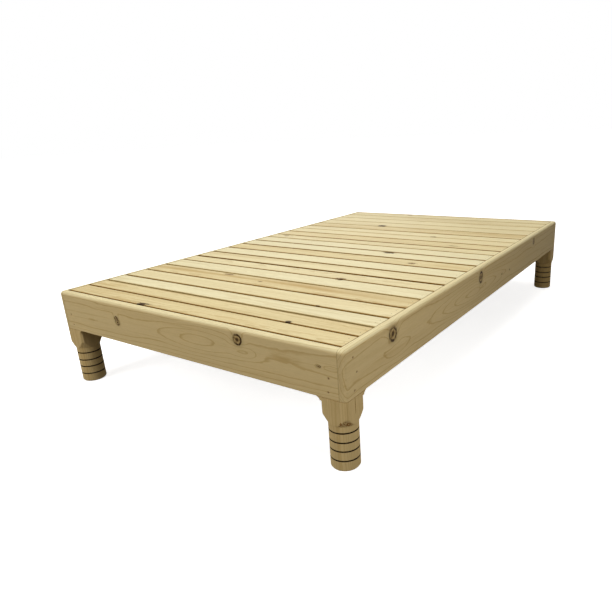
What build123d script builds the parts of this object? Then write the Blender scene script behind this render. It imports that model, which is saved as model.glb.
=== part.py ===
from build123d import *
import os

# Pine bed base: close boards laid across a rail frame, which stands on four turned corner legs.
# X runs across the bed, Y along it with the near end at minus Y, and Z up from the floor.
# The origin is on the floor, in the middle of the bed. All sizes are in millimetres.

# Frame of rails
bed_width = 1200.0
bed_length = 1900.0
rail_height = 135.0
rail_thickness = 20.0
rail_round = 12.0
rail_arris = 2.0

# Legs
leg_drop = 200.0
leg_square = 80.0
leg_corner_radius = 52.0
leg_turned_diameter = 79.0
leg_cove_radius = 10.0
square_drop = 46.0
pommel_height = 26.0
foot_bevel_width = 3.0
foot_bevel_height = 4.0
groove_width = 2.6
groove_depth = 1.6
groove_height_shares = (0.153, 0.290, 0.415, 0.550)

# Boards laid across, near end first, in two stock widths and with gaps that were set by eye
slat_thickness = 20.0
slat_set_down = 0.5
slat_end_gap = 1.0
slat_gap = 9.0
slat_gap_shares = (
    0.90, 0.70, 1.20, 1.15, 1.00, 1.10, 0.85,
    1.40, 1.20, 1.00, 1.30, 1.10, 0.70, 1.05,
    0.85, 0.40, 1.00, 0.70, 0.50, 0.40, 0.50, 0.70,
)
slat_arris = 1.2
slat_width_shares = (
    0.81, 0.77, 0.79, 0.98, 0.98, 0.96, 0.78,
    0.94, 0.97, 0.93, 0.94, 0.95, 0.78, 0.97,
    0.98, 0.88, 1.01, 1.17, 1.14, 1.08, 0.97,
)

# Ledgers inside the rails, and the bearer under the middle of the boards
ledger_width = 30.0
ledger_height = 45.0
bearer_width = 45.0
bearer_depth = 70.0
lap_height_share = 0.5
fitting_gap = 0.3

# Screws, six-sided to keep the many small solids light
screw_sides = 6
screw_diameter = 4.0
screw_head_diameter = 7.0
screw_head_height = 2.8
screw_sink = 1.0
screw_clearance = 0.15
rail_screw_length = 45.0
ledger_screw_length = 42.0
bearer_screw_length = 36.0
side_ledger_screw_shares = (0.04, 0.35, 0.65, 0.96)
end_ledger_screw_shares = (0.06, 0.35, 0.65, 0.94)

# Rail screws: how far down the rail, and how far in from the corner across the leg
end_rail_screw_shares = ((0.58, 0.60), (0.86, 0.64))
side_rail_screw_shares = ((0.21, 0.47), (0.53, 0.65), (0.86, 0.49))

# Heights and places that follow from the sizes above
rail_top = leg_drop + rail_height
slat_top = rail_top - slat_set_down
slat_seat = slat_top - slat_thickness
half_width = bed_width / 2
half_length = bed_length / 2
inner_half_width = half_width - rail_thickness
inner_half_length = half_length - rail_thickness
leg_blank = leg_square + leg_cove_radius
post_inner_x = half_width - leg_blank
post_inner_y = half_length - leg_blank
leg_axis_inset = leg_square / 2
lap_height = ledger_height * lap_height_share
side_ledger_half = post_inner_y - fitting_gap
end_ledger_half = post_inner_x - fitting_gap


def screw(length, clearance=0):
    """A countersunk screw along minus Z, or with a clearance the hole that it is driven into."""
    head_radius = screw_head_diameter / 2 + clearance
    shank_radius = screw_diameter / 2 + clearance
    with BuildPart() as body:
        with BuildSketch():
            RegularPolygon(head_radius, screw_sides)
        with BuildSketch(Plane.XY.offset(-screw_head_height)):
            RegularPolygon(shank_radius, screw_sides)
        loft(ruled=True)
        extrude(body.faces().sort_by(Axis.Z)[0], amount=length - screw_head_height + clearance)
        if clearance:
            extrude(body.faces().sort_by(Axis.Z)[-1], amount=screw_sink)
    return body.part


def mirrored(piece, plane):
    """The same piece on the other side of a plane."""
    with BuildPart() as other:
        mirror(piece, about=plane)
    return other.part


def at_corner(piece, side, end):
    """A piece made for the near right corner, set at another corner."""
    if side < 0:
        piece = mirrored(piece, Plane.YZ)
    if end > 0:
        piece = mirrored(piece, Plane.XZ)
    return piece


def save(piece, name):
    """Write one piece to its own file."""
    piece.label = name
    export_step(piece, f"parts/{name}.step")


def end_rail_screws(side, end):
    """Places of the screws through an end rail into one post."""
    return [
        Plane(
            origin=(
                side * (half_width - leg_square * inset_share),
                end * (half_length - screw_sink),
                rail_top - rail_height * drop_share,
            ),
            z_dir=(0, end, 0),
        )
        for drop_share, inset_share in end_rail_screw_shares
    ]


def side_rail_screws(side, end):
    """Places of the screws through a side rail into one post."""
    return [
        Plane(
            origin=(
                side * (half_width - screw_sink),
                end * (half_length - leg_square * inset_share),
                rail_top - rail_height * drop_share,
            ),
            z_dir=(side, 0, 0),
        )
        for drop_share, inset_share in side_rail_screw_shares
    ]


def side_ledger_screws(side):
    """Places of the screws through a side ledger into its rail."""
    return [
        Plane(
            origin=(
                side * (inner_half_width - ledger_width + screw_sink),
                side_ledger_half * (2 * share - 1),
                slat_seat - ledger_height / 2,
            ),
            z_dir=(-side, 0, 0),
        )
        for share in side_ledger_screw_shares
    ]


def end_ledger_screws(end):
    """Places of the screws through an end ledger into its rail."""
    return [
        Plane(
            origin=(
                end_ledger_half * (2 * share - 1),
                end * (inner_half_length - ledger_width + screw_sink),
                slat_seat - ledger_height / 2,
            ),
            z_dir=(0, -end, 0),
        )
        for share in end_ledger_screw_shares
    ]


def bearer_screw(end):
    """Place of the screw down through one end of the bearer into the end ledger."""
    return Plane(origin=(0, end * (inner_half_length - ledger_width / 2), slat_seat - screw_sink))


os.makedirs("parts", exist_ok=True)

# Boards: their widths share out the length between the end rails, less the gaps
gap_total = slat_gap * sum(slat_gap_shares)
slat_unit = (2 * inner_half_length - gap_total) / sum(slat_width_shares)
slat_length = 2 * (inner_half_width - slat_end_gap)
slat_edge = -inner_half_length
for number, share in enumerate(slat_width_shares, start=1):
    slat_width = slat_unit * share
    slat_edge += slat_gap * slat_gap_shares[number - 1]
    slat_plane = Plane(
        origin=(-slat_length / 2, slat_edge + slat_width / 2, slat_top - slat_thickness / 2),
        x_dir=(0, 1, 0),
        z_dir=(1, 0, 0),
    )
    with BuildPart() as slat:
        with BuildSketch(slat_plane) as section:
            Rectangle(slat_width, slat_thickness)
            chamfer(section.vertices(), length=slat_arris)
        extrude(amount=slat_length)
    save(slat.part, f"slat_{number:02d}")
    slat_edge += slat_width

# Side rails: full-length boards, rounded along the top and down both outer corners
with BuildPart() as side_rail:
    with Locations((half_width, 0, leg_drop)):
        Box(
            rail_thickness,
            bed_length,
            rail_height,
            align=(Align.MAX, Align.CENTER, Align.MIN),
        )
    outer_edges = side_rail.faces().sort_by(Axis.X)[-1].edges().sort_by(Axis.Z)[1:]
    end_edges = side_rail.faces().sort_by(Axis.Z)[-1].edges().filter_by(Axis.X)
    fillet(outer_edges + end_edges, radius=rail_round)
    lower_edges = side_rail.faces().sort_by(Axis.Z)[0].edges().sort_by(Axis.X)[1:]
    chamfer(lower_edges, length=rail_arris)
    with Locations(*side_rail_screws(1, -1), *side_rail_screws(1, 1)):
        add(screw(rail_screw_length, screw_clearance), mode=Mode.SUBTRACT)
    with Locations(*side_ledger_screws(1)):
        add(screw(ledger_screw_length, screw_clearance), mode=Mode.SUBTRACT)
save(side_rail.part, "side_rail_right")
save(mirrored(side_rail.part, Plane.YZ), "side_rail_left")

# End rails: butted between the side rails, with the same rounded top edge
with BuildPart() as end_rail:
    with Locations((0, -half_length, leg_drop)):
        Box(
            2 * inner_half_width,
            rail_thickness,
            rail_height,
            align=(Align.CENTER, Align.MIN, Align.MIN),
        )
    outer_edges = end_rail.faces().sort_by(Axis.Y)[0].edges().filter_by(Axis.X).sort_by(Axis.Z)
    fillet(outer_edges[-1], radius=rail_round)
    outer_edges = end_rail.faces().sort_by(Axis.Y)[0].edges().filter_by(Axis.X).sort_by(Axis.Z)
    chamfer(outer_edges[0], length=rail_arris)
    with Locations(*end_rail_screws(-1, -1), *end_rail_screws(1, -1)):
        add(screw(rail_screw_length, screw_clearance), mode=Mode.SUBTRACT)
    with Locations(*end_ledger_screws(-1)):
        add(screw(ledger_screw_length, screw_clearance), mode=Mode.SUBTRACT)
save(end_rail.part, "end_rail_front")
save(mirrored(end_rail.part, Plane.XZ), "end_rail_back")

# Legs: one square blank each, with coves under the rails and its inner corners turned off, turned
# round below a sloping shoulder, and rebated above for the two rails
front_face = Plane(origin=(0, -half_length, 0), x_dir=(1, 0, 0), z_dir=(0, -1, 0))
side_face = Plane(origin=(half_width, 0, 0), x_dir=(0, 1, 0), z_dir=(1, 0, 0))
leg_turned_radius = leg_turned_diameter / 2
pommel_top = leg_drop - square_drop
with BuildPart() as leg:
    with BuildSketch(front_face):
        with BuildLine():
            cove = RadiusArc(
                (post_inner_x, leg_drop),
                (post_inner_x + leg_cove_radius, leg_drop - leg_cove_radius),
                leg_cove_radius,
            )
            Polyline(
                cove @ 1,
                (post_inner_x + leg_cove_radius, 0),
                (half_width, 0),
                (half_width, slat_seat),
                (post_inner_x, slat_seat),
                cove @ 0,
            )
        make_face()
    extrude(amount=-leg_blank)
    with BuildSketch(side_face):
        with BuildLine():
            cove = RadiusArc(
                (-post_inner_y - leg_cove_radius, leg_drop - leg_cove_radius),
                (-post_inner_y, leg_drop),
                leg_cove_radius,
            )
            Polyline(
                cove @ 1,
                (-post_inner_y, slat_seat),
                (-half_length, slat_seat),
                (-half_length, 0),
                (-post_inner_y - leg_cove_radius, 0),
                cove @ 0,
            )
        make_face()
    extrude(amount=-leg_blank, mode=Mode.INTERSECT)
    outer_corner = leg.edges().filter_by(Axis.Z).group_by(Axis.X)[-1].sort_by(Axis.Y)[0]
    fillet(outer_corner, radius=rail_round)
    turning_plane = Plane(
        origin=(half_width - leg_axis_inset, leg_axis_inset - half_length, 0),
        x_dir=(1, 0, 0),
        z_dir=(0, -1, 0),
    )
    with BuildSketch(turning_plane):
        with BuildLine():
            profile = [
                (0, 0),
                (leg_turned_radius - foot_bevel_width, 0),
                (leg_turned_radius, foot_bevel_height),
            ]
            for share in groove_height_shares:
                groove_height = leg_drop * share
                profile += [
                    (leg_turned_radius, groove_height - groove_width / 2),
                    (leg_turned_radius - groove_depth, groove_height),
                    (leg_turned_radius, groove_height + groove_width / 2),
                ]
            profile += [
                (leg_turned_radius, pommel_top - pommel_height),
                (leg_corner_radius, pommel_top),
                (leg_corner_radius, leg_drop - leg_cove_radius),
                (leg_blank, leg_drop),
                (leg_blank, slat_seat),
                (0, slat_seat),
            ]
            Polyline(*profile, close=True)
        make_face()
    revolve(
        axis=Axis((half_width - leg_axis_inset, leg_axis_inset - half_length, 0), (0, 0, 1)),
        mode=Mode.INTERSECT,
    )
    with Locations((half_width, -half_length, leg_drop)):
        Box(
            rail_thickness,
            leg_blank,
            slat_seat - leg_drop,
            align=(Align.MAX, Align.MIN, Align.MIN),
            mode=Mode.SUBTRACT,
        )
        Box(
            leg_blank,
            rail_thickness,
            slat_seat - leg_drop,
            align=(Align.MAX, Align.MIN, Align.MIN),
            mode=Mode.SUBTRACT,
        )
    with Locations(*end_rail_screws(1, -1), *side_rail_screws(1, -1)):
        add(screw(rail_screw_length, screw_clearance), mode=Mode.SUBTRACT)
for side, side_name in ((-1, "left"), (1, "right")):
    for end, end_name in ((-1, "front"), (1, "back")):
        save(at_corner(leg.part, side, end), f"leg_{end_name}_{side_name}")

# Side ledgers: battens between the posts, screwed to the side rails
with BuildPart() as side_ledger:
    with Locations((inner_half_width, 0, slat_seat)):
        Box(
            ledger_width,
            2 * side_ledger_half,
            ledger_height,
            align=(Align.MAX, Align.CENTER, Align.MAX),
        )
    with Locations(*side_ledger_screws(1)):
        add(screw(ledger_screw_length, screw_clearance), mode=Mode.SUBTRACT)
save(side_ledger.part, "side_ledger_right")
save(mirrored(side_ledger.part, Plane.YZ), "side_ledger_left")

# End ledgers: battens between the posts, cut half away in the middle for the bearer
with BuildPart() as end_ledger:
    with Locations((0, -inner_half_length, slat_seat)):
        Box(
            2 * end_ledger_half,
            ledger_width,
            ledger_height,
            align=(Align.CENTER, Align.MIN, Align.MAX),
        )
        Box(
            bearer_width + 2 * fitting_gap,
            ledger_width,
            lap_height,
            align=(Align.CENTER, Align.MIN, Align.MAX),
            mode=Mode.SUBTRACT,
        )
    with Locations(*end_ledger_screws(-1)):
        add(screw(ledger_screw_length, screw_clearance), mode=Mode.SUBTRACT)
    with Locations(bearer_screw(-1)):
        add(screw(bearer_screw_length, screw_clearance), mode=Mode.SUBTRACT)
save(end_ledger.part, "end_ledger_front")
save(mirrored(end_ledger.part, Plane.XZ), "end_ledger_back")

# Centre bearer: on edge from end to end, halved over the end ledgers
with BuildPart() as centre_bearer:
    with Locations((0, 0, slat_seat)):
        Box(
            bearer_width,
            2 * (inner_half_length - fitting_gap),
            bearer_depth,
            align=(Align.CENTER, Align.CENTER, Align.MAX),
        )
    for end in (-1, 1):
        with Locations((0, end * (inner_half_length - ledger_width / 2), slat_seat - lap_height)):
            Box(
                bearer_width,
                ledger_width + 2 * fitting_gap,
                bearer_depth,
                align=(Align.CENTER, Align.CENTER, Align.MAX),
                mode=Mode.SUBTRACT,
            )
    with Locations(bearer_screw(-1), bearer_screw(1)):
        add(screw(bearer_screw_length, screw_clearance), mode=Mode.SUBTRACT)
save(centre_bearer.part, "centre_bearer")

# Rail screws: two through each end of the end rails and three of the side rails, into the posts
corners = [(side, end) for side in (-1, 1) for end in (-1, 1)]
with BuildPart() as rail_screws:
    for side, end in corners:
        with Locations(*end_rail_screws(side, end), *side_rail_screws(side, end)):
            add(screw(rail_screw_length))
save(rail_screws.part, "rail_screws")

# Ledger screws: driven from inside the frame
with BuildPart() as ledger_screws:
    with Locations(
        *side_ledger_screws(-1),
        *side_ledger_screws(1),
        *end_ledger_screws(-1),
        *end_ledger_screws(1),
    ):
        add(screw(ledger_screw_length))
save(ledger_screws.part, "ledger_screws")

# Bearer screws: one down through each lap
with BuildPart() as bearer_screws:
    with Locations(bearer_screw(-1), bearer_screw(1)):
        add(screw(bearer_screw_length))
save(bearer_screws.part, "bearer_screws")
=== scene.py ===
import math
import random
import bmesh
import bpy
from mathutils import Euler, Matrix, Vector


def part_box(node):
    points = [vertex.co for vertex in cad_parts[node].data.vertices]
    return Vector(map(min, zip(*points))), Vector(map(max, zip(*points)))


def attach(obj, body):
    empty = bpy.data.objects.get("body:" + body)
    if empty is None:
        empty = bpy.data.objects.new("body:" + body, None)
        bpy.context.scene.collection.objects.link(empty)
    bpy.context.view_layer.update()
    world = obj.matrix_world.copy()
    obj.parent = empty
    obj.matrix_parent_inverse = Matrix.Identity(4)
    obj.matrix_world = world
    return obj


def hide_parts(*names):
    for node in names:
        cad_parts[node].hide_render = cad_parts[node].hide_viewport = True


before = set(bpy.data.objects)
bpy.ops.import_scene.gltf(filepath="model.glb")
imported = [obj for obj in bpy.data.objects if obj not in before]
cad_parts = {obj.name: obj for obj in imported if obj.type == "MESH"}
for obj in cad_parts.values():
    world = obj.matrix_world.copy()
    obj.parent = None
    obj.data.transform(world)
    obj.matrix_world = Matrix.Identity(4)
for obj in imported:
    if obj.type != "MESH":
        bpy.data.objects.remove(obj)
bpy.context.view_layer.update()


# The four legs. Each is one square blank of pine, turned round below a sloping shoulder and
# burned with four dark lines while it spun. The square top is rebated behind the rails and
# screwed to them. The pine itself is described here first, because every board uses it.

# The Mix node holds sockets for numbers, directions and colours, and these are the colours'
MIX_SHARE, MIX_FIRST, MIX_SECOND, MIX_RESULT = 0, 6, 7, 2


def add_node(tree, kind, sockets=None, **settings):
    """Adds one node to a material or group, sets it up, and fills or joins its sockets."""
    node = tree.nodes.new(kind)
    for name, value in settings.items():
        setattr(node, name, value)
    for socket, value in (sockets or {}).items():
        if isinstance(value, bpy.types.NodeSocket):
            tree.links.new(value, node.inputs[socket])
        else:
            node.inputs[socket].default_value = value
    return node


def sum_node(tree, operation, *values, clamp=False):
    """One sum on numbers, and the number that comes out."""
    node = add_node(tree, "ShaderNodeMath", dict(enumerate(values)), operation=operation)
    node.use_clamp = clamp
    return node.outputs[0]


def plus(tree, first, second, clamp=False):
    """Two numbers added."""
    return sum_node(tree, "ADD", first, second, clamp=clamp)


def minus(tree, first, second):
    """The second number taken from the first."""
    return sum_node(tree, "SUBTRACT", first, second)


def times(tree, first, second):
    """Two numbers multiplied."""
    return sum_node(tree, "MULTIPLY", first, second)


def without_sign(tree, value):
    """How large a number is, whichever its sign."""
    return sum_node(tree, "ABSOLUTE", value)


def vector_node(tree, operation, *values, output="Vector"):
    """One sum on directions or places, and what comes out."""
    node = add_node(tree, "ShaderNodeVectorMath", dict(enumerate(values)), operation=operation)
    return node.outputs[output]


def axes_of(tree, value):
    """The three numbers of a place or a direction."""
    return add_node(tree, "ShaderNodeSeparateXYZ", {0: value}).outputs


def fade(tree, value, start, end, low=0.0, high=1.0):
    """A soft step from low at start to high at end."""
    sockets = {"Value": value, "From Min": start, "From Max": end, "To Min": low, "To Max": high}
    return add_node(tree, "ShaderNodeMapRange", sockets, interpolation_type="SMOOTHSTEP").outputs[0]


def blend_colours(tree, share, first, second, blend_type="MIX"):
    """Two colours mixed by a share, or multiplied."""
    sockets = {MIX_SHARE: share, MIX_FIRST: first, MIX_SECOND: second}
    node = add_node(tree, "ShaderNodeMix", sockets, data_type="RGBA", blend_type=blend_type)
    return node.outputs[MIX_RESULT]


def noise_node(tree, place, stretch, detail=3.0, roughness=0.5):
    """Cloudy noise. The stretch says how often it changes in a metre, along each axis in turn."""
    stretched = vector_node(tree, "MULTIPLY", place, stretch)
    sockets = {"Vector": stretched, "Scale": 1.0, "Detail": detail, "Roughness": roughness}
    return add_node(tree, "ShaderNodeTexNoise", sockets).outputs["Fac"]


def spot_distance(tree, place, middle, half):
    """How far a point is from the middle of a spot, counted in the spot's half sizes. A half size
    of zero stands for an axis that the spot runs through."""
    offset = vector_node(tree, "SUBTRACT", place, middle)
    shares = tuple(1 / size if size else 0.0 for size in half)
    offset = vector_node(tree, "MULTIPLY", offset, shares)
    return vector_node(tree, "LENGTH", offset, output="Value")


def new_finish(name):
    """An empty material, and its tree of nodes."""
    material = bpy.data.materials.new(name)
    material.use_nodes = True
    material.node_tree.nodes.clear()
    return material, material.node_tree


# Growth rings. Each kind of wave has its stretch, and how many metres it pushes the rings aside.
# A range says where a mark begins and where it is full. Lean years bunch some rings together.
SLOW_STRETCH, SLOW_PUSH = (1.6, 9.0, 9.0), 0.030
SHORT_STRETCH, SHORT_PUSH = (7.0, 26.0, 26.0), 0.006
RAGGED_STRETCH, RAGGED_PUSH = (30.0, 130.0, 130.0), 0.0028
KNOT_PUSH_RANGE, KNOT_PUSH = (3.2, 0.6), 0.009
LEAN_YEARS = 0.37
LATE_WOOD_PEAK = 0.93
LATE_WOOD_STOPS = (1.0, 0.95)


def growth_rings(tree, given):
    """The late wood of rings round the pith line, which waves along the log and knots push about."""
    along = given["Along grain"]
    slow = noise_node(tree, along, SLOW_STRETCH, detail=2.0)
    short = noise_node(tree, along, SHORT_STRETCH, detail=2.0)
    axes = axes_of(tree, along)
    radius = plus(tree, times(tree, axes["Y"], axes["Y"]), times(tree, axes["Z"], axes["Z"]))
    radius = sum_node(tree, "SQRT", radius)
    knot_push = times(tree, fade(tree, given["Knot distance"], *KNOT_PUSH_RANGE), KNOT_PUSH)
    radius = plus(tree, radius, times(tree, slow, SLOW_PUSH))
    radius = plus(tree, radius, times(tree, short, SHORT_PUSH))
    ragged = noise_node(tree, along, RAGGED_STRETCH, detail=3.0, roughness=0.6)
    radius = plus(tree, radius, times(tree, ragged, RAGGED_PUSH))
    radius = plus(tree, radius, plus(tree, given["Figure"], knot_push))
    turn = sum_node(tree, "DIVIDE", radius, given["Ring width"])
    turn = plus(tree, turn, sum_node(tree, "SINE", times(tree, turn, LEAN_YEARS)))
    ring = sum_node(tree, "FRACT", turn)
    rise = fade(tree, ring, given["Late wood from"], LATE_WOOD_PEAK)
    late = times(tree, rise, fade(tree, ring, *LATE_WOOD_STOPS))
    return times(tree, late, given["Ring strength"])


# Clear wood. A share says how much of the late wood's colour a full mark has, and a shade how
# much it lightens or darkens.
STREAK_STRETCH, STREAK_RANGE, STREAK_SHARE = (0.9, 42.0, 42.0), (0.40, 0.72), 0.6
LINE_STRETCH, LINE_RANGE = (1.7, 150.0, 150.0), (0.56, 0.68)
PATCH_STRETCH, PATCH_RANGE, PATCH_SHARE = (3.0, 11.0, 11.0), (0.48, 0.68), 0.22
LATE_WOOD_SHARE = 0.8
FIBRE_STRETCH, FIBRE_SHADE = (14.0, 620.0, 620.0), 0.13
FLECK_STRETCH, FLECK_SHADE = (45.0, 260.0, 260.0), 0.18
DARKEST_SHADE = 0.845
CLOUDED_RANGE, CLOUDED_SHADES = (0.3, 0.7), (0.975, 1.02)
END_GRAIN_DARKER = 0.05


def clear_wood(tree, given, late):
    """The colour between the knots, from late wood, streaks a finger wide, thin lines and tan
    patches. It is shaded by fibres too fine to count and by flecks. The fibres come out too."""
    along = given["Along grain"]
    streak = noise_node(tree, along, STREAK_STRETCH, detail=4.0, roughness=0.6)
    streak = times(tree, fade(tree, streak, *STREAK_RANGE), given["Streak strength"])
    line = noise_node(tree, along, LINE_STRETCH, detail=3.0, roughness=0.7)
    line = times(tree, fade(tree, line, *LINE_RANGE), given["Line strength"])
    fibre = noise_node(tree, along, FIBRE_STRETCH, detail=3.0, roughness=0.65)
    fleck = noise_node(tree, along, FLECK_STRETCH, detail=3.0, roughness=0.65)
    patch = noise_node(tree, along, PATCH_STRETCH, detail=2.0)

    dark = plus(tree, times(tree, late, LATE_WOOD_SHARE), times(tree, streak, STREAK_SHARE))
    tan = fade(tree, patch, *PATCH_RANGE)
    tan = times(tree, tan, times(tree, given["Streak strength"], PATCH_SHARE))
    dark = plus(tree, plus(tree, dark, tan), line, clamp=True)
    colour = blend_colours(tree, dark, given["Early wood"], given["Late wood"])

    shade = plus(tree, DARKEST_SHADE, times(tree, fibre, FIBRE_SHADE))
    shade = plus(tree, shade, times(tree, fleck, FLECK_SHADE))
    shade = times(tree, shade, fade(tree, patch, *CLOUDED_RANGE, *CLOUDED_SHADES))
    end_shade = minus(tree, 1.0, times(tree, given["End grain"], END_GRAIN_DARKER))
    shade = times(tree, shade, end_shade)
    grey = add_node(tree, "ShaderNodeCombineXYZ", {0: shade, 1: shade, 2: shade}).outputs[0]
    return vector_node(tree, "MULTIPLY", colour, grey), fibre


# Knots, with distances from a knot's middle counted in its half sizes
HALO_RANGE, HALO_SHARE = (2.0, 1.0), 0.22
SPECK_STRETCH = (150.0, 150.0, 150.0)
EARLY_WOOD_INSIDE = 0.35
SPECK_RANGE, SPECK_SHARES = (0.42, 0.66), (0.1, 0.9)
HEART_SOFTNESS, HEART_SHARE = 0.28, 0.92
EYE_EDGE = (0.42, 0.22)
EYE_SPECK_RANGE, EYE_SHARES = (0.28, 0.52), (0.35, 0.85)
KNOT_EDGE = (1.0, 0.90)
RIM_INNER_EDGE, RIM_OUTER_EDGE = (0.62, 0.78), (1.16, 1.00)
RIM_BREAK_STRETCH = (52.0, 52.0, 52.0)
RIM_BREAK_RANGE, RIM_SHARES = (0.40, 0.56), (0.35, 1.0)


def knotty_wood(tree, given, colour):
    """A faint halo, then a broken bark rim, speckled tan wood inside it, and a brown heart with a
    dark eye. The rim comes out too."""
    along = given["Along grain"]
    knot = given["Knot distance"]
    specks = noise_node(tree, along, SPECK_STRETCH, detail=3.0, roughness=0.7)
    halo = times(tree, fade(tree, knot, *HALO_RANGE), HALO_SHARE)
    colour = blend_colours(tree, halo, colour, given["Knot wood"])
    inside = blend_colours(tree, EARLY_WOOD_INSIDE, given["Late wood"], given["Early wood"])
    speckled = fade(tree, specks, *SPECK_RANGE, *SPECK_SHARES)
    inside = blend_colours(tree, speckled, inside, given["Knot wood"])
    heart_edge = minus(tree, given["Knot heart"], HEART_SOFTNESS)
    heart = times(tree, fade(tree, knot, given["Knot heart"], heart_edge), HEART_SHARE)
    inside = blend_colours(tree, heart, inside, given["Knot wood"])
    eye = fade(tree, knot, *EYE_EDGE)
    eye = times(tree, eye, fade(tree, specks, *EYE_SPECK_RANGE, *EYE_SHARES))
    inside = blend_colours(tree, eye, inside, given["Knot bark"])
    colour = blend_colours(tree, fade(tree, knot, *KNOT_EDGE), colour, inside)
    rim = times(tree, fade(tree, knot, *RIM_INNER_EDGE), fade(tree, knot, *RIM_OUTER_EDGE))
    rim_breaks = noise_node(tree, along, RIM_BREAK_STRETCH, detail=2.0)
    rim = times(tree, rim, fade(tree, rim_breaks, *RIM_BREAK_RANGE, *RIM_SHARES))
    return blend_colours(tree, rim, colour, given["Knot bark"]), rim


# How far each mark stands up or sinks, as a share of the grain's depth, and how dull it is
LATE_WOOD_HEIGHT, FIBRE_HEIGHT, RIM_SINKS = 0.5, 0.55, 0.3
SANDED_ROUGHNESS, FIBRE_DULLER, LATE_WOOD_GLOSSIER, END_GRAIN_DULLER = 0.52, 0.16, 0.08, 0.15


def make_pine_group():
    """Pine as the saw meets it: growth rings, streaks and fibres along the board, and knots."""
    tree = bpy.data.node_groups.new("pine", "ShaderNodeTree")
    direction, number, tone = "NodeSocketVector", "NodeSocketFloat", "NodeSocketColor"
    for in_out, kind, names in (
        ("INPUT", direction, ("Along grain",)),
        ("INPUT", number, ("Knot distance", "Figure", "Ring width", "Ring strength", "Late wood from",
                           "Streak strength", "Line strength", "Knot heart", "End grain")),
        ("INPUT", tone, ("Early wood", "Late wood", "Knot wood", "Knot bark")),
        ("OUTPUT", tone, ("Colour",)),
        ("OUTPUT", number, ("Roughness", "Height")),
    ):
        for name in names:
            tree.interface.new_socket(name, in_out=in_out, socket_type=kind)
    given = tree.nodes.new("NodeGroupInput").outputs

    late = growth_rings(tree, given)
    colour, fibre = clear_wood(tree, given, late)
    colour, rim = knotty_wood(tree, given, colour)

    height = plus(tree, times(tree, late, LATE_WOOD_HEIGHT), times(tree, fibre, FIBRE_HEIGHT))
    height = minus(tree, height, times(tree, rim, RIM_SINKS))
    roughness = plus(tree, SANDED_ROUGHNESS, times(tree, fibre, FIBRE_DULLER))
    roughness = minus(tree, roughness, times(tree, late, LATE_WOOD_GLOSSIER))
    roughness = plus(tree, roughness, times(tree, given["End grain"], END_GRAIN_DULLER))
    add_node(tree, "NodeGroupOutput", {"Colour": colour, "Roughness": roughness, "Height": height})
    return tree


pine_group = make_pine_group()

KNOT_BROWN = (0.185, 0.112, 0.038)
BARK_BROWN = (0.042, 0.021, 0.004)
FAR_FROM_KNOTS = 9.0
KNOT_OUTLINE_STRETCH = (70.0, 70.0, 70.0)
NOISE_MIDDLE = 0.5
END_GRAIN_RANGE = (0.75, 0.95)
GRAIN_DEPTH, GRAIN_BUMP = 0.0004, 0.25
SATIN_SHINE = 0.05


def pine(name, lie, pith, tilt, tone, rings, ring_width, streaks, lines=0.3, late_from=0.42, knots=(),
         figures=(), knot_wood=KNOT_BROWN, knot_bark=BARK_BROWN, knot_heart=0.56,
         knot_raggedness=0.25, marks=None):
    """A board's own pine. Its lie is the turn that brings its length onto the first axis. The pith
    line is set off from the board and tilted, so that flat faces show arches and quarter faces
    show straight lines. The tone is its early wood and its late wood. A knot is its middle and
    its half sizes. A figure has a height too, and swells the rings into an arch."""
    material, tree = new_finish(name)
    place = add_node(tree, "ShaderNodeTexCoord").outputs["Object"]
    laid = add_node(tree, "ShaderNodeMapping", {"Vector": place, "Rotation": lie}).outputs[0]
    tilted = {"Vector": laid, "Rotation": tilt, "Location": pith}
    along = add_node(tree, "ShaderNodeMapping", tilted).outputs[0]

    wobble = noise_node(tree, place, KNOT_OUTLINE_STRETCH, detail=3.0, roughness=0.6)
    wobble = times(tree, minus(tree, wobble, NOISE_MIDDLE), knot_raggedness)
    nearest = None
    for middle, half in knots:
        distance = plus(tree, spot_distance(tree, place, middle, half), wobble)
        nearest = distance if nearest is None else sum_node(tree, "MINIMUM", nearest, distance)

    swell = None
    for middle, half, height in figures:
        distance = spot_distance(tree, place, middle, half)
        arch = times(tree, fade(tree, distance, 1.0, 0.0), height)
        swell = arch if swell is None else plus(tree, swell, arch)

    normal = add_node(tree, "ShaderNodeNewGeometry").outputs["Normal"]
    length_way = Vector((1, 0, 0))
    length_way.rotate(Euler(lie).to_matrix().inverted())
    facing = vector_node(tree, "DOT_PRODUCT", normal, tuple(length_way), output="Value")
    end_grain = fade(tree, without_sign(tree, facing), *END_GRAIN_RANGE)

    wood = add_node(tree, "ShaderNodeGroup", {
        "Along grain": along,
        "Knot distance": FAR_FROM_KNOTS if nearest is None else nearest,
        "Figure": 0.0 if swell is None else swell,
        "Ring width": ring_width,
        "Ring strength": rings,
        "Late wood from": late_from,
        "Streak strength": streaks,
        "Line strength": lines,
        "Early wood": (*tone[0], 1),
        "Late wood": (*tone[1], 1),
        "Knot wood": (*knot_wood, 1),
        "Knot bark": (*knot_bark, 1),
        "Knot heart": knot_heart,
        "End grain": end_grain,
    }, node_tree=pine_group)
    colour = wood.outputs["Colour"]
    roughness = wood.outputs["Roughness"]
    if marks:
        colour, roughness = marks(tree, place, colour, roughness)
    bump = add_node(tree, "ShaderNodeBump", {
        "Height": wood.outputs["Height"], "Strength": GRAIN_BUMP, "Distance": GRAIN_DEPTH})
    surface = add_node(tree, "ShaderNodeBsdfPrincipled", {
        "Base Color": colour, "Roughness": roughness, "Normal": bump.outputs[0],
        "Specular IOR Level": SATIN_SHINE})
    add_node(tree, "ShaderNodeOutputMaterial", {"Surface": surface.outputs[0]})
    return material


def dress(node_name, material):
    """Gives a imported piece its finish."""
    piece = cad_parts[node_name]
    piece.data.materials.clear()
    piece.data.materials.append(material)


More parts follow.
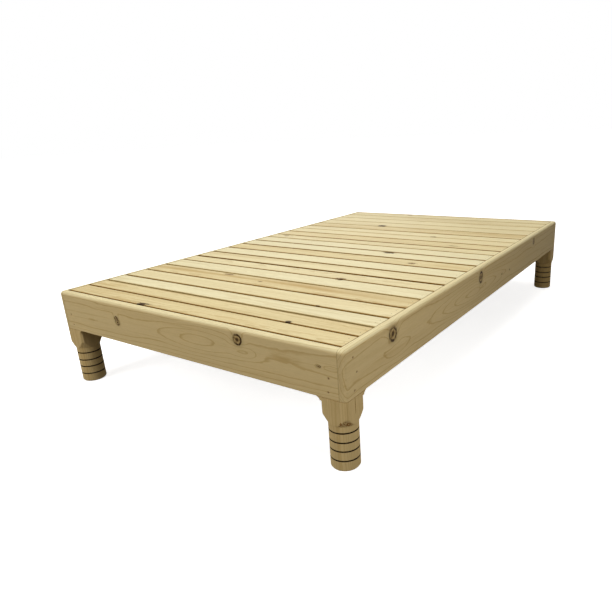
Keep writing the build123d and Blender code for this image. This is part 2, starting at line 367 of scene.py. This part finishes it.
BURN_HEIGHTS = (0.0306, 0.0580, 0.0830, 0.1100)
SCORCHED_FROM, BURNED_FROM = 0.0027, 0.0016
BURNED = (0.018, 0.009, 0.002, 1)
BURNED_DULLER = 0.3


def burned_lines(tree, place, colour, roughness):
    """The four lines burned with a wire, with a thin scorched edge."""
    height = axes_of(tree, place)["Z"]
    nearest = None
    for line in BURN_HEIGHTS:
        distance = without_sign(tree, minus(tree, height, line))
        nearest = distance if nearest is None else sum_node(tree, "MINIMUM", nearest, distance)
    burned = fade(tree, nearest, SCORCHED_FROM, BURNED_FROM)
    colour = blend_colours(tree, burned, colour, BURNED)
    return colour, plus(tree, roughness, times(tree, burned, BURNED_DULLER))


# The near leg's knot and its resin line: the middle, the half sizes, and how near to the middle
# of a curl the brown begins and is full
NEAR_LEG_SPOTS = (
    ((0.5890, -0.9480, 0.1300), (0.018, 0.034, 0.0190), (0.070, 0.030)),
    ((0.6000, -0.9115, 0.1780), (0.004, 0.0011, 0.026), (0.9, 0.1)),
)
SPOT_EDGE = (1.0, 0.8)
SPOT_FOOT = (0.1285, 0.1297)
CURL_STRETCH = (130.0, 130.0, 145.0)
CURL_BROWN = (0.225, 0.100, 0.017, 1)


def near_leg_marks(tree, place, colour, roughness):
    """The near leg also shows a small speckled knot below its shoulder and one dark resin line."""
    colour, roughness = burned_lines(tree, place, colour, roughness)
    curls = noise_node(tree, place, CURL_STRETCH, detail=2.0, roughness=0.6)
    curls = without_sign(tree, minus(tree, curls, NOISE_MIDDLE))
    above_foot = fade(tree, axes_of(tree, place)["Z"], *SPOT_FOOT)
    for middle, half, curl_range in NEAR_LEG_SPOTS:
        spot = fade(tree, spot_distance(tree, place, middle, half), *SPOT_EDGE)
        spot = times(tree, spot, fade(tree, curls, *curl_range))
        colour = blend_colours(tree, times(tree, spot, above_foot), colour, CURL_BROWN)
    return colour, roughness


ALONG_Z = (0.0, math.radians(90), 0.0)
LEG_X = 0.5600
LEG_Y = 0.9100
LEG_TONE = ((0.660, 0.500, 0.240), (0.470, 0.315, 0.115))
# A darker copy of the leg tone, which is painted shade on the back right leg
PAINTED_SHADE_LEG_TONE = ((0.540, 0.385, 0.160), (0.380, 0.235, 0.075))

# Each leg's pith line stands some centimetres off its axis and leans a little
LEG_GRAIN = {
    "leg_front_right": dict(
        pith=(0.0, LEG_Y + 0.052, LEG_X + 0.015), tilt=(0.0, 0.010, 0.012), marks=near_leg_marks),
    "leg_front_left": dict(
        pith=(0.0, LEG_Y - 0.045, -LEG_X + 0.030), tilt=(0.0, -0.012, 0.010)),
    # The back right leg takes the darker copy of the leg tone as painted shade
    "leg_back_right": dict(
        pith=(0.0, -LEG_Y - 0.050, LEG_X - 0.020), tilt=(0.0, 0.008, -0.014), tone=PAINTED_SHADE_LEG_TONE),
    "leg_back_left": dict(
        pith=(0.0, -LEG_Y + 0.055, -LEG_X - 0.010), tilt=(0.0, -0.010, 0.010)),
}
for leg_name, own_grain in LEG_GRAIN.items():
    grain = {"tone": LEG_TONE, "marks": burned_lines, **own_grain}
    dress(leg_name, pine(leg_name + "_pine", ALONG_Z, rings=0.45, ring_width=0.0042, streaks=0.55,
                         lines=0.35, **grain))


# The four rails. Planed pine boards, the side rails over the ends of the end rails, sanded to a
# soft round along the top and down the outer corners, then glued and screwed to the legs.

ALONG_X = (0.0, 0.0, 0.0)
ALONG_Y = (0.0, 0.0, math.radians(-90))
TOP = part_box("side_rail_right")[1].z
RAIL_INNER_X = 0.5800
RAIL_TONE = ((0.690, 0.540, 0.275), (0.500, 0.345, 0.135))

# The painted top light begins and is full as the face turns up, and the shade as the joint comes near
PAINTED_TOP_LIGHT_TONE = (1.04, 1.17, 1.40, 1)
PAINTED_TOP_LIGHT_RANGE = (0.1, 0.8)
JOINT_SHADE = (0.34, 0.26, 0.16, 1)
JOINT_RANGE, JOINT_SHARES = (0.0013, 0.0003), (0.0, 0.5)


def rail_marks(tree, place, colour, roughness):
    """A hair of dust and shade where the rails butt and where the boards meet them, and painted light
    that makes the faces turning up paler, most along the top round."""
    where = axes_of(tree, place)
    facing = axes_of(tree, add_node(tree, "ShaderNodeNewGeometry").outputs["Normal"])
    # Painted light: faces that turn up are paler, most along the top round
    painted_top_light = fade(tree, facing["Z"], *PAINTED_TOP_LIGHT_RANGE)
    colour = blend_colours(tree, painted_top_light, colour, PAINTED_TOP_LIGHT_TONE, "MULTIPLY")
    off_joint = minus(tree, without_sign(tree, where["X"]), RAIL_INNER_X)
    joint = fade(tree, without_sign(tree, off_joint), *JOINT_RANGE, *JOINT_SHARES)
    return blend_colours(tree, joint, colour, JOINT_SHADE, "MULTIPLY"), roughness


RAIL_GRAIN = {
    "end_rail_front": dict(
        lie=ALONG_X, pith=(0.3, 1.020, -0.278), tilt=(0.0, 0.020, 0.006),
        rings=0.85, ring_width=0.0090, streaks=0.35,
        knots=(
            ((-0.2855, -0.940, TOP - 0.0545), (0.009, 0.0, 0.0085)),
            ((-0.2815, -0.940, TOP - 0.0665), (0.011, 0.0, 0.0095)),
            ((0.2554, -0.940, TOP - 0.0307), (0.016, 0.0, 0.0155)),
            ((0.5245, -0.940, TOP - 0.0521), (0.006, 0.0, 0.0035)),
        ),
        figures=(
            ((0.100, -0.940, TOP - 0.060), (0.260, 0.0, 0.055), -0.026),
            ((0.275, -0.940, TOP - 0.064), (0.085, 0.0, 0.026), -0.022),
            ((0.560, -0.940, TOP - 0.052), (0.060, 0.0, 0.018), -0.012),
        )),
    "end_rail_back": dict(
        lie=ALONG_X, pith=(0.0, -1.022, -0.262), tilt=(0.0, -0.018, 0.006),
        rings=0.85, ring_width=0.0088, streaks=0.35,
        knots=(
            ((0.180, 0.940, TOP - 0.045), (0.014, 0.0, 0.016)),
            ((-0.350, 0.940, TOP - 0.080), (0.010, 0.0, 0.012)),
        ),
        figures=(((-0.060, 0.940, TOP - 0.068), (0.300, 0.0, 0.052), -0.028),)),
    "side_rail_right": dict(
        lie=ALONG_Y, pith=(0.0, 0.672, -0.262), tilt=(0.0, -0.012, -0.006),
        rings=0.90, ring_width=0.0090, streaks=0.40,
        knots=(
            ((0.590, -0.7193, TOP - 0.0345), (0.0, 0.020, 0.021)),
            ((0.590, -0.0827, TOP - 0.0370), (0.0, 0.016, 0.021)),
            ((0.590, 0.5616, TOP - 0.0298), (0.0, 0.011, 0.013)),
            ((0.590, 0.1439, TOP - 0.0800), (0.0, 0.006, 0.0035)),
            ((0.590, 0.2370, TOP - 0.0833), (0.0, 0.005, 0.003)),
        ),
        figures=(
            ((0.590, -0.702, TOP - 0.086), (0.0, 0.110, 0.034), -0.014),
            ((0.590, -0.130, TOP - 0.072), (0.0, 0.440, 0.055), -0.040),
        )),
    "side_rail_left": dict(
        lie=ALONG_Y, pith=(0.0, -0.674, -0.270), tilt=(0.0, 0.014, -0.006),
        rings=0.90, ring_width=0.0090, streaks=0.40,
        knots=(
            ((-0.590, -0.420, TOP - 0.060), (0.0, 0.015, 0.017)),
            ((-0.590, 0.310, TOP - 0.040), (0.0, 0.018, 0.018)),
            ((-0.590, 0.700, TOP - 0.090), (0.0, 0.008, 0.009)),
        ),
        figures=(
            ((-0.590, -0.080, TOP - 0.068), (0.0, 0.360, 0.052), -0.034),
            ((-0.590, 0.600, TOP - 0.070), (0.0, 0.150, 0.040), -0.016),
        )),
}
for rail_name, grain in RAIL_GRAIN.items():
    dress(rail_name, pine(
        rail_name + "_pine", tone=RAIL_TONE, late_from=0.78, marks=rail_marks, **grain))


# Ledgers and the centre bearer, out of sight under the boards. Sawn pine left unfinished, screwed
# inside the rails and halved where the bearer crosses the end ledgers.

SAWN_TONE = ((0.640, 0.500, 0.265), (0.480, 0.330, 0.140))
SAWN_TILT = (0.0, 0.02, 0.01)

for batten_name, lie, pith in (
    ("side_ledger_left", ALONG_Y, (0.0, -0.52, -0.20)),
    ("side_ledger_right", ALONG_Y, (0.0, 0.52, -0.36)),
    ("end_ledger_front", ALONG_X, (0.0, 0.86, -0.22)),
    ("end_ledger_back", ALONG_X, (0.0, -0.96, -0.34)),
    ("centre_bearer", ALONG_Y, (0.0, 0.05, -0.20)),
):
    dress(batten_name, pine(batten_name + "_pine", lie, pith, SAWN_TILT, SAWN_TONE, rings=0.6,
                            ring_width=0.0045, streaks=0.7))


# Twenty-one boards across the frame. Sanded pine left bare, from mixed stock, so that each has
# its own tone, rings and knots. Each end is nailed down to the ledgers.

STRAW = ((0.694, 0.590, 0.332), (0.440, 0.305, 0.120))
CREAM = ((0.738, 0.652, 0.397), (0.490, 0.370, 0.175))
PALE = ((0.752, 0.684, 0.441), (0.530, 0.425, 0.220))
WHEAT = ((0.712, 0.610, 0.352), (0.450, 0.315, 0.130))
BOARD_TONES = (
    STRAW, STRAW, PALE, CREAM, STRAW, PALE, CREAM, CREAM, PALE, STRAW, PALE,
    PALE, CREAM, WHEAT, CREAM, CREAM, WHEAT, CREAM, CREAM, CREAM, CREAM,
)
STREAKY_TONES, STREAKY = (STRAW, WHEAT), 1.7

# The knots of each board, with the boards counted from the near end
BOARD_KNOTS = {
    1: (
        ((-0.1860, -0.9190, TOP), (0.015, 0.0048, 0.0)),
        ((-0.1780, -0.9112, TOP), (0.026, 0.0036, 0.0)),
    ),
    2: (((0.3465, -0.8430, TOP), (0.010, 0.0065, 0.0)),),
    4: (((0.3320, -0.6940, TOP), (0.006, 0.0040, 0.0)),),
    5: (
        ((-0.1942, -0.5320, TOP), (0.020, 0.0070, 0.0)),
        ((-0.0182, -0.5594, TOP), (0.008, 0.0045, 0.0)),
    ),
    6: (((0.2246, -0.4275, TOP), (0.013, 0.0060, 0.0)),),
    7: (((0.2246, -0.4150, TOP), (0.016, 0.0085, 0.0)),),
    10: (((0.3442, -0.1235, TOP), (0.015, 0.0085, 0.0)),),
    11: (((0.1734, 0.0035, TOP), (0.022, 0.0100, 0.0)),),
    13: (((-0.4966, 0.1529, TOP), (0.012, 0.0070, 0.0)),),
    14: (((0.3656, 0.2170, TOP), (0.020, 0.0045, 0.0)),),
    16: (((0.1977, 0.3690, TOP), (0.014, 0.0080, 0.0)),),
    18: (((-0.1843, 0.5480, TOP), (0.020, 0.0170, 0.0)),),
    21: (((-0.2080, 0.9143, TOP), (0.014, 0.0090, 0.0)),),
}
BLACK_KNOT_BOARDS = (1, 2, 11, 18)
BLACK_KNOTS = dict(knot_wood=(0.045, 0.023, 0.005), knot_bark=BARK_BROWN, knot_heart=1.2)
BROWN_KNOTS = dict(knot_wood=KNOT_BROWN, knot_bark=(0.130, 0.072, 0.018), knot_heart=0.62)
BOARD_KNOT_RAGGEDNESS = 1.4

# Boards whose painted edge shade is paler than the others' (above 1) or browner (below 1).
# The strip of painted shade on the top face is counted in from the board's edge, and the dust and
# painted shade at the ends out from the middle of the bed.
GAP_SHADE_PALENESS = {3: 2.4, 4: 1.3, 5: 1.5, 6: 1.8, 8: 0.7}
# Painted shade on the boards' side and end faces, which darkens the gaps between them
PAINTED_GAP_SHADE = (0.500, 0.345, 0.125, 1)
SIDE_FACE_RANGE, SIDE_FACE_DULLER = (0.88, 0.55), 0.2
# Painted shade in a strip of the top face beside each long edge
PAINTED_EDGE_SHADE = (0.56, 0.42, 0.18, 1)
PAINTED_EDGE_FROM, PAINTED_EDGE_TO, PAINTED_EDGE_SHARE = 0.0042, 0.0004, 0.85
# Dust and painted shade where the boards' ends meet the rails
DUST_AND_PAINTED_SHADE = (0.30, 0.23, 0.15, 1)
DUST_AND_SHADE_RANGE = (0.5766, 0.5784)


def painted_edge_shade_and_dust(middle_y, half_width, paleness):
    """The side and end faces take painted shade that darkens the gaps, the top face a strip of
    painted shade beside each long edge, and dust and painted shade lie in the joint at each end."""
    def marks(tree, place, colour, roughness):
        facing = axes_of(tree, add_node(tree, "ShaderNodeNewGeometry").outputs["Normal"])
        where = axes_of(tree, place)
        across = without_sign(tree, minus(tree, where["Y"], middle_y))
        # Painted shade on the top face beside each long edge
        painted_edge_strip = fade(tree, across, half_width - PAINTED_EDGE_FROM, half_width - PAINTED_EDGE_TO,
                       0.0, PAINTED_EDGE_SHARE / paleness)
        colour = blend_colours(tree, painted_edge_strip, colour, PAINTED_EDGE_SHADE, "MULTIPLY")
        # Dust and painted shade in the joint at the board's ends
        dust_and_shade = fade(tree, without_sign(tree, where["X"]), *DUST_AND_SHADE_RANGE)
        colour = blend_colours(tree, dust_and_shade, colour, DUST_AND_PAINTED_SHADE, "MULTIPLY")
        # Painted shade on the side and end faces, which darkens the gaps, and a duller roughness there
        edge = fade(tree, without_sign(tree, facing["Z"]), *SIDE_FACE_RANGE)
        gap_shade = tuple(channel ** (1 / paleness) for channel in PAINTED_GAP_SHADE)
        colour = blend_colours(tree, edge, colour, gap_shade, "MULTIPLY")
        return colour, plus(tree, roughness, times(tree, edge, SIDE_FACE_DULLER))
    return marks


# Where a board's pith line may run and lean, and how its grain may be marked
PITH_ALONG, PITH_ACROSS, PITH_OFF_FACE = (-5, 5), (-0.05, 0.05), (0.03, 0.09)
PITH_LEAN, PITH_TURN = (-0.03, 0.03), (-0.012, 0.012)
BOARD_RINGS, BOARD_RING_WIDTH = (0.25, 0.5), (0.0035, 0.0055)
BOARD_STREAKS, BOARD_LINES = (0.3, 0.7), (0.15, 0.45)

grain_draw = random.Random(21)
for number, tone in enumerate(BOARD_TONES, start=1):
    board_name = f"slat_{number:02d}"
    low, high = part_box(board_name)
    middle_y = (low.y + high.y) / 2
    pith = (
        grain_draw.uniform(*PITH_ALONG),
        -middle_y + grain_draw.uniform(*PITH_ACROSS),
        -TOP - grain_draw.choice((-1, 1)) * grain_draw.uniform(*PITH_OFF_FACE),
    )
    tilt = (0.0, grain_draw.uniform(*PITH_LEAN), grain_draw.uniform(*PITH_TURN))
    dress(board_name, pine(
        board_name + "_pine", ALONG_X, pith, tilt, tone,
        rings=grain_draw.uniform(*BOARD_RINGS),
        ring_width=grain_draw.uniform(*BOARD_RING_WIDTH),
        streaks=grain_draw.uniform(*BOARD_STREAKS) * (STREAKY if tone in STREAKY_TONES else 1.0),
        lines=grain_draw.uniform(*BOARD_LINES),
        knots=BOARD_KNOTS.get(number, ()),
        knot_raggedness=BOARD_KNOT_RAGGEDNESS,
        marks=painted_edge_shade_and_dust(middle_y, (high.y - low.y) / 2, GAP_SHADE_PALENESS.get(number, 1.0)),
        **(BLACK_KNOTS if number in BLACK_KNOT_BOARDS else BROWN_KNOTS)))


# Nails. Two small lost-head wire nails hold each end of every board down to the ledgers. Their
# heads are hammered flush, and show as small dull dots.

CLOUD_STRETCH, CLOUD_RANGE = (900.0, 900.0, 900.0), (0.35, 0.65)
SCRATCH_STRETCH, SCRATCH_DULLER = (4000.0, 700.0, 700.0), 0.25
SCRATCH_DEPTH, SCRATCH_BUMP = 0.0001, 0.2
STEEL_ROUGHNESS, STEEL_METALLIC, STEEL_SHINE = 0.48, 0.25, 0.25
STAINED_SHADE = 0.5


def dull_steel(name, tone):
    """Steel that has gone dull and brown, with finger-print clouds and fine scratches."""
    material, tree = new_finish(name)
    place = add_node(tree, "ShaderNodeTexCoord").outputs["Object"]
    cloud = noise_node(tree, place, CLOUD_STRETCH, detail=3.0)
    scratch = noise_node(tree, place, SCRATCH_STRETCH, detail=2.0)
    stained = tuple(channel * STAINED_SHADE for channel in tone)
    colour = blend_colours(tree, fade(tree, cloud, *CLOUD_RANGE), (*stained, 1), (*tone, 1))
    roughness = plus(tree, STEEL_ROUGHNESS, times(tree, scratch, SCRATCH_DULLER))
    bump = add_node(tree, "ShaderNodeBump", {
        "Height": scratch, "Strength": SCRATCH_BUMP, "Distance": SCRATCH_DEPTH})
    surface = add_node(tree, "ShaderNodeBsdfPrincipled", {
        "Base Color": colour, "Roughness": roughness, "Normal": bump.outputs[0],
        "Metallic": STEEL_METALLIC, "Specular IOR Level": STEEL_SHINE})
    add_node(tree, "ShaderNodeOutputMaterial", {"Surface": surface.outputs[0]})
    return material


def ring_of(mesh, place, turn, sides, radius, depth):
    """A ring of points round an axis, at a depth below the head."""
    return [mesh.verts.new(place + turn @ Vector((
        radius * math.cos(math.tau * side / sides), radius * math.sin(math.tau * side / sides), -depth)))
        for side in range(sides)]


def join_rings(mesh, upper, lower, smooth=True):
    """A band of faces between two rings."""
    for side, start in enumerate(upper):
        after = (side + 1) % len(upper)
        mesh.faces.new((start, lower[side], lower[after], upper[after])).smooth = smooth


def finish_piece(name, mesh, material):
    """Turns the points and faces into a piece of the bed."""
    bmesh.ops.recalc_face_normals(mesh, faces=mesh.faces)
    data = bpy.data.meshes.new(name)
    mesh.to_mesh(data)
    mesh.free()
    data.materials.append(material)
    piece = bpy.data.objects.new(name, data)
    bpy.context.scene.collection.objects.link(piece)
    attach(piece, "root")
    return piece


# Each ring is its radius and its depth: the crowned head, its cone, and the shank down to the point
NAIL_RINGS = (
    (0.00090, -0.00014), (0.00145, -0.00006), (0.00155, 0.00040), (0.00085, 0.00130), (0.00085, 0.03300))
NAIL_CROWN = 0.00017
NAIL_LENGTH = 0.0355
NAIL_SIDES = 10
NAIL_FROM_MIDDLE = 0.5650
NAIL_SHARES = (0.36, 0.72)
NAIL_STRAY_X = (-0.002, 0.002)
NAIL_STRAY_SHARE = (-0.03, 0.03)
NAIL_TONE = (0.26, 0.19, 0.11)
UPRIGHT = Euler((0.0, 0.0, 0.0)).to_matrix()

nail_draw = random.Random(84)
nails = bmesh.new()
for number in range(1, len(BOARD_TONES) + 1):
    low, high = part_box(f"slat_{number:02d}")
    for side in (-1, 1):
        for share in NAIL_SHARES:
            place = Vector((
                side * (NAIL_FROM_MIDDLE + nail_draw.uniform(*NAIL_STRAY_X)),
                low.y + (high.y - low.y) * (share + nail_draw.uniform(*NAIL_STRAY_SHARE)), high.z))
            crown = nails.verts.new(place + Vector((0, 0, NAIL_CROWN)))
            rings = [ring_of(nails, place, UPRIGHT, NAIL_SIDES, *ring) for ring in NAIL_RINGS]
            for point, start in enumerate(rings[0]):
                nails.faces.new((crown, start, rings[0][(point + 1) % NAIL_SIDES])).smooth = True
            for upper, lower in zip(rings, rings[1:]):
                join_rings(nails, upper, lower)
            tip = nails.verts.new(place - Vector((0, 0, NAIL_LENGTH)))
            for point, start in enumerate(rings[-1]):
                nails.faces.new((tip, rings[-1][(point + 1) % NAIL_SIDES], start))
finish_piece("board_nails", nails, dull_steel("nail_steel", NAIL_TONE))


# Screws. Countersunk wood screws with a cross recess, sunk a millimetre: through the rails into
# the legs, through the ledgers into the rails, and one down through each end of the bearer.

HEAD_RADIUS, HEAD_RIM_RADIUS = 0.00312, 0.00302
HEAD_RIM_HEIGHT = 0.0002
HEAD_HEIGHT = 0.0028
HEAD_SIDES = 24
HEAD_TURN = math.radians(15)
RECESS_ARM, RECESS_HALF_WIDTH = 0.0018, 0.0005
RECESS_DEPTH, RECESS_TAPER = 0.0016, 0.6
ROOT_RADIUS, CREST_RADIUS = 0.0013, 0.0020
NECK_RADIUS, SHANK_END_RADIUS = CREST_RADIUS * 0.9, CREST_RADIUS * 0.85
SHANK_SHARE = 0.35
POINT_LENGTH = 0.004
THREAD_PITCH, THREAD_SHARPNESS = 0.0022, 3.2
THREAD_SIDES, THREAD_STEPS = 8, 3
NECK_SIDES_PER_SHANK_SIDE = HEAD_SIDES // THREAD_SIDES
SCREW_TONE = (0.48, 0.31, 0.14)


def screw_head(mesh, place, turn):
    """A round flat head with a tapered cross recess and a cone under it. Its neck comes out."""
    arm, half = RECESS_ARM, RECESS_HALF_WIDTH
    corners = ((arm, half), (half, half), (half, arm), (-half, arm), (-half, half), (-arm, half),
               (-arm, -half), (-half, -half), (-half, -arm), (half, -arm), (half, -half), (arm, -half))
    cross = [mesh.verts.new(place + turn @ Vector((x, y, 0))) for x, y in corners]
    cross_floor = [
        mesh.verts.new(place + turn @ Vector((x * RECESS_TAPER, y * RECESS_TAPER, -RECESS_DEPTH)))
        for x, y in corners]
    head_turn = turn @ Euler((0, 0, HEAD_TURN)).to_matrix()
    rim = ring_of(mesh, place, head_turn, HEAD_SIDES, HEAD_RIM_RADIUS, 0)
    for corner, start in enumerate(cross):
        after = cross[(corner + 1) % len(cross)]
        first, second, third = (rim[(2 * corner + step) % HEAD_SIDES] for step in range(3))
        mesh.faces.new((start, first, second))
        mesh.faces.new((start, second, after))
        mesh.faces.new((after, second, third))
    join_rings(mesh, cross, cross_floor, smooth=False)
    mesh.faces.new(cross_floor)
    edge = ring_of(mesh, place, head_turn, HEAD_SIDES, HEAD_RADIUS, HEAD_RIM_HEIGHT)
    neck = ring_of(mesh, place, head_turn, HEAD_SIDES, NECK_RADIUS, HEAD_HEIGHT)
    join_rings(mesh, rim, edge)
    join_rings(mesh, edge, neck)
    return neck


def screw_shank(mesh, place, turn, neck, length):
    """The plain shank below the neck, the thread winding down it, and the point."""
    shank = ring_of(mesh, place, turn, THREAD_SIDES, NECK_RADIUS, HEAD_HEIGHT)
    for point in range(THREAD_SIDES):
        first = NECK_SIDES_PER_SHANK_SIDE * point - 1
        around = [neck[(first + step) % HEAD_SIDES] for step in range(NECK_SIDES_PER_SHANK_SIDE + 1)]
        mesh.faces.new((*around, shank[(point + 1) % THREAD_SIDES], shank[point])).smooth = True
    thread_start = length * SHANK_SHARE
    previous = ring_of(mesh, place, turn, THREAD_SIDES, SHANK_END_RADIUS, thread_start)
    join_rings(mesh, shank, previous)
    steps = int((length - thread_start - POINT_LENGTH) / THREAD_PITCH * THREAD_STEPS)
    for step in range(1, steps + 1):
        depth = thread_start + step * THREAD_PITCH / THREAD_STEPS
        ring = []
        for point in range(THREAD_SIDES):
            phase = (step / THREAD_STEPS - point / THREAD_SIDES) % 1.0
            crest = max(0.0, 1.0 - abs(phase - 0.5) * THREAD_SHARPNESS)
            radius = ROOT_RADIUS + (CREST_RADIUS - ROOT_RADIUS) * crest
            angle = math.tau * point / THREAD_SIDES
            on_ring = Vector((radius * math.cos(angle), radius * math.sin(angle), -depth))
            ring.append(mesh.verts.new(place + turn @ on_ring))
        join_rings(mesh, previous, ring)
        previous = ring
    tip = mesh.verts.new(place + turn @ Vector((0, 0, -length)))
    for point, start in enumerate(previous):
        mesh.faces.new((tip, previous[(point + 1) % THREAD_SIDES], start)).smooth = True


# The heads' places, given for one corner and repeated at all four
END_RAIL_HEADS_Y, END_RAIL_HEADS_X_Z = 0.949, ((0.5520, 0.2567), (0.5488, 0.2189))
SIDE_RAIL_HEADS_X = 0.599
SIDE_RAIL_HEADS_Y_Z = ((0.9124, 0.30665), (0.8980, 0.26345), (0.9108, 0.2189))
LEDGER_HEADS_Z = 0.292
SIDE_LEDGER_HEADS_X, SIDE_LEDGER_HEADS_Y = 0.551, (0.7909, 0.2579)
END_LEDGER_HEADS_Y, END_LEDGER_HEADS_X = 0.901, (0.4485, 0.1529)
BEARER_HEADS_Y, BEARER_HEADS_Z = 0.915, 0.3135
CORNERS = [(side, end) for side in (-1, 1) for end in (-1, 1)]

RAIL_SCREWS = [
    (Vector((side * x, end * END_RAIL_HEADS_Y, z)), (0, end, 0))
    for side, end in CORNERS for x, z in END_RAIL_HEADS_X_Z
] + [
    (Vector((side * SIDE_RAIL_HEADS_X, end * y, z)), (side, 0, 0))
    for side, end in CORNERS for y, z in SIDE_RAIL_HEADS_Y_Z
]
LEDGER_SCREWS = [
    (Vector((side * SIDE_LEDGER_HEADS_X, end * y, LEDGER_HEADS_Z)), (-side, 0, 0))
    for side, end in CORNERS for y in SIDE_LEDGER_HEADS_Y
] + [
    (Vector((side * x, end * END_LEDGER_HEADS_Y, LEDGER_HEADS_Z)), (0, -end, 0))
    for side, end in CORNERS for x in END_LEDGER_HEADS_X
]
BEARER_SCREWS = [(Vector((0, end * BEARER_HEADS_Y, BEARER_HEADS_Z)), (0, 0, 1)) for end in (-1, 1)]

screw_steel = dull_steel("screw_steel", SCREW_TONE)
for node_name, places, length in (
    ("rail_screws", RAIL_SCREWS, 0.045),
    ("ledger_screws", LEDGER_SCREWS, 0.042),
    ("bearer_screws", BEARER_SCREWS, 0.036),
):
    screws = bmesh.new()
    for place, outward in places:
        turn = Vector(outward).to_track_quat("Z", "Y").to_matrix()
        neck = screw_head(screws, place, turn)
        screw_shank(screws, place, turn, neck, length)
    piece = finish_piece("cross_" + node_name, screws, screw_steel)
    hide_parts(node_name)


# The floor. A wide pale sheet that looks near white, keeps a soft shadow under the bed, and
# throws only a little warm light back up at it.

FLOOR_HALF = 40.0
FLOOR_CORNERS = ((-1, -1), (1, -1), (1, 1), (-1, 1))
FLOOR_PALE = (0.90, 0.90, 0.90, 1)
FLOOR_BOUNCE = (0.12, 0.10, 0.075, 1)
WHITE = (1, 1, 1, 1)
GLOW_RANGE, GLOW_STRENGTHS = (1.4, 4.5), (0.76, 1.0)


def seen_directly(tree):
    """One where the camera, metal or glass looks at a surface, and zero where light falls on it."""
    rays = add_node(tree, "ShaderNodeLightPath").outputs
    mirrored = plus(tree, rays["Is Glossy Ray"], rays["Is Transmission Ray"])
    return plus(tree, rays["Is Camera Ray"], mirrored, clamp=True)


floor_mesh = bpy.data.meshes.new("floor")
floor_mesh.from_pydata(
    [(x * FLOOR_HALF, y * FLOOR_HALF, 0) for x, y in FLOOR_CORNERS], [], [(0, 1, 2, 3)])
floor = bpy.data.objects.new("floor", floor_mesh)
bpy.context.scene.collection.objects.link(floor)
floor_paint, tree = new_finish("floor_paint")
seen = seen_directly(tree)
matt = add_node(tree, "ShaderNodeBsdfDiffuse", {"Color": FLOOR_BOUNCE})
pale = add_node(tree, "ShaderNodeBsdfDiffuse", {"Color": FLOOR_PALE})
place = add_node(tree, "ShaderNodeTexCoord").outputs["Object"]
reach = vector_node(tree, "LENGTH", place, output="Value")
glow = add_node(tree, "ShaderNodeEmission", {
    "Color": WHITE, "Strength": fade(tree, reach, *GLOW_RANGE, *GLOW_STRENGTHS)})
bright = add_node(tree, "ShaderNodeAddShader", {0: pale.outputs[0], 1: glow.outputs[0]})
both = add_node(tree, "ShaderNodeMixShader", {0: seen, 1: matt.outputs[0], 2: bright.outputs[0]})
add_node(tree, "ShaderNodeOutputMaterial", {"Surface": both.outputs[0]})
floor_mesh.materials.append(floor_paint)


# The light. A room that looks white but lights the bed only a little, and four soft square lamps:
# overhead, before the near end, a small one by the near right corner, and behind the far left.

ROOM_TINT, ROOM_STRENGTH = (1.0, 0.96, 0.89, 1), 0.15
LAMP_TONE = (1.0, 0.985, 0.96)

room = bpy.data.worlds.new("room")
bpy.context.scene.world = room
room.use_nodes = True
tree = room.node_tree
tree.nodes.clear()
seen = seen_directly(tree)
ambient = add_node(tree, "ShaderNodeBackground", {"Color": ROOM_TINT, "Strength": ROOM_STRENGTH})
white = add_node(tree, "ShaderNodeBackground", {"Color": WHITE, "Strength": 1.0})
both = add_node(tree, "ShaderNodeMixShader", {0: seen, 1: ambient.outputs[0], 2: white.outputs[0]})
add_node(tree, "ShaderNodeOutputWorld", {"Surface": both.outputs[0]})

# Each lamp is its width in metres, its power in watts, where it hangs and where it points
for lamp_name, width, watts, place, target in (
    ("overhead_lamp", 3.2, 119.0, (-0.3, -0.2, 3.8), (-0.1, 0.0, 0.2)),
    ("front_lamp", 2.4, 74.0, (-1.2, -4.4, 2.05), (-0.1, -0.9, 0.20)),
    ("side_lamp", 0.9, 10.6, (2.0, -1.08, 0.98), (0.6, -0.9, 0.20)),
    ("back_lamp", 2.4, 34.0, (-3.0, 4.0, 1.6), (-0.3, 0.5, 0.25)),
):
    lamp_data = bpy.data.lights.new(lamp_name, "AREA")
    lamp_data.size = width
    lamp_data.energy = watts
    lamp_data.color = LAMP_TONE
    lamp = bpy.data.objects.new(lamp_name, lamp_data)
    bpy.context.scene.collection.objects.link(lamp)
    lamp.location = place
    lamp.rotation_euler = (Vector(target) - lamp.location).to_track_quat("-Z", "Y").to_euler()


# The camera. It stands where the photograph was taken: off the near right corner, a little above
# table height, with its frame slid sideways and up.

FRAME_PIXELS = 612
FOCAL_PIXELS = 544.738
MIDDLE_X_PIXELS = 354.681
MIDDLE_Y_PIXELS = 315.580
SENSOR_MM = 36.0

camera_data = bpy.data.cameras.new("camera")
camera_data.sensor_width = SENSOR_MM
camera_data.lens = SENSOR_MM * FOCAL_PIXELS / FRAME_PIXELS
camera_data.shift_x = (FRAME_PIXELS / 2 - MIDDLE_X_PIXELS) / FRAME_PIXELS
camera_data.shift_y = (MIDDLE_Y_PIXELS - FRAME_PIXELS / 2) / FRAME_PIXELS
camera = bpy.data.objects.new("camera", camera_data)
bpy.context.scene.collection.objects.link(camera)
camera.location = (1.27743, -1.89222, 0.81841)
camera.rotation_euler = (1.241125, 0.046378, 0.581220)
bpy.context.scene.camera = camera
bpy.context.scene.view_settings.view_transform = "Standard"
